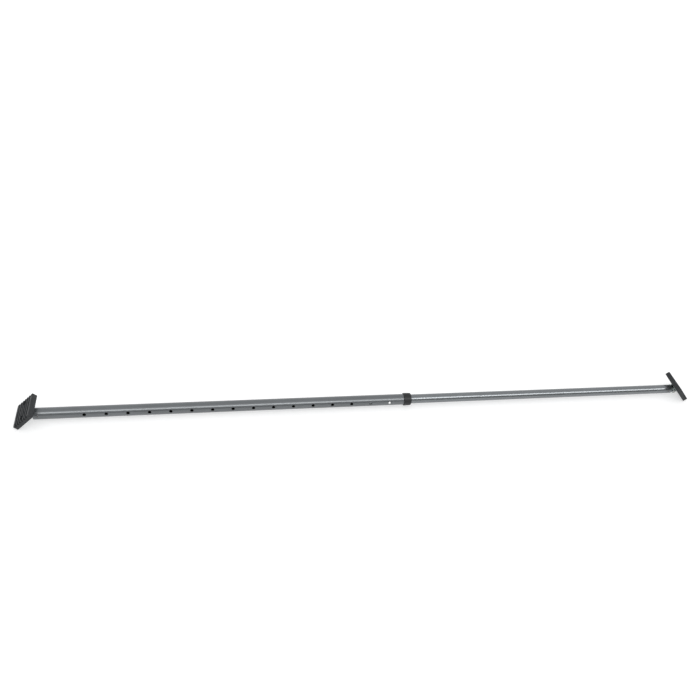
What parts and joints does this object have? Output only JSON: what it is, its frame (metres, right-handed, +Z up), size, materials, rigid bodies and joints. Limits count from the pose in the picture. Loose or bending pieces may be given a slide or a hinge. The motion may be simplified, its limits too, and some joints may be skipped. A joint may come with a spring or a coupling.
{
  "type": "bed cargo bar",
  "caption": "Telescoping steel bar with a snap-button length lock, an internal take-up spring and swivelling ribbed rubber feet, wedged across a pickup bed to hold cargo.",
  "frame": {"origin": "on the ground, midway between the two foot pivots, with the bar at full length and lying down", "axes": "+X along the bar from the large tube's foot to the small tube's foot, +Z up, Y along the foot pivots"},
  "size_m": [1.8014, 0.072, 0.0518],
  "materials": {
    "outer_paint": "semi-gloss metallic grey paint",
    "inner_paint": "gloss metallic grey paint",
    "collar_plastic": "fine moulded texture",
    "glide_plastic": "smooth moulded",
    "carrier_plastic": "smooth moulded, natural",
    "button_steel": "bright plated",
    "spring_steel": "drawn wire",
    "plug_steel": "turned",
    "pin_steel": "oiled spring steel",
    "zinc_plate": "zinc plate",
    "fastener_zinc": "zinc plate",
    "screw_black": "black oxide",
    "pad_rubber": "matt moulded rubber"
  },
  "bodies": {
    "outer_bar": {"outer_tube": "outer_paint", "tube_collar": "collar_plastic", "left_end_plug": "zinc_plate", "left_cross_pin": "pin_steel"},
    "left_foot": {"left_bracket": "zinc_plate", "left_pivot_bolt": "fastener_zinc", "left_pivot_nut": "fastener_zinc", "left_pivot_washers": "fastener_zinc", "left_pad": "pad_rubber", "left_pad_screws": "screw_black"},
    "carrier": {"button_carrier": "carrier_plastic"},
    "button": {"snap_button": "button_steel", "button_spring": "spring_steel"},
    "inner_bar": {"inner_tube": "inner_paint", "inner_glide": "glide_plastic", "spring_stop": "plug_steel", "take_up_spring": "spring_steel", "right_end_plug": "zinc_plate", "right_cross_pin": "pin_steel"},
    "right_foot": {"right_bracket": "zinc_plate", "right_pivot_bolt": "fastener_zinc", "right_pivot_nut": "fastener_zinc", "right_pivot_washers": "fastener_zinc", "right_pad": "pad_rubber", "right_pad_screws": "screw_black"}
  },
  "joints": [
    {"name": "left_foot_swivel", "type": "hinge", "parent": "outer_bar", "child": "left_foot", "pos_m": [-0.86635, 0, 0.017], "axis": [0, 1, 0], "range_deg": [-93, 6]},
    {"name": "length_adjust", "type": "slide", "parent": "outer_bar", "child": "carrier", "axis": [1, 0, 0], "range_m": [-0.7112, 0], "deforming": ["snap_button", "button_spring"]},
    {"name": "button_press", "type": "slide", "parent": "carrier", "child": "button", "axis": [0, 0.9703, -0.2419], "range_m": [0, 0.0046], "stiffness_N_per_m": 1500, "springref_m": -0.003, "deforming": ["button_spring"]},
    {"name": "take_up", "type": "slide", "parent": "carrier", "child": "inner_bar", "axis": [1, 0, 0], "range_m": [-0.0508, 0], "stiffness_N_per_m": 3000, "springref_m": 0.02, "deforming": ["take_up_spring"]},
    {"name": "right_foot_swivel", "type": "hinge", "parent": "inner_bar", "child": "right_foot", "pos_m": [0.86635, 0, 0.017], "axis": [0, -1, 0], "range_deg": [-103, 16.5]}
  ]
}
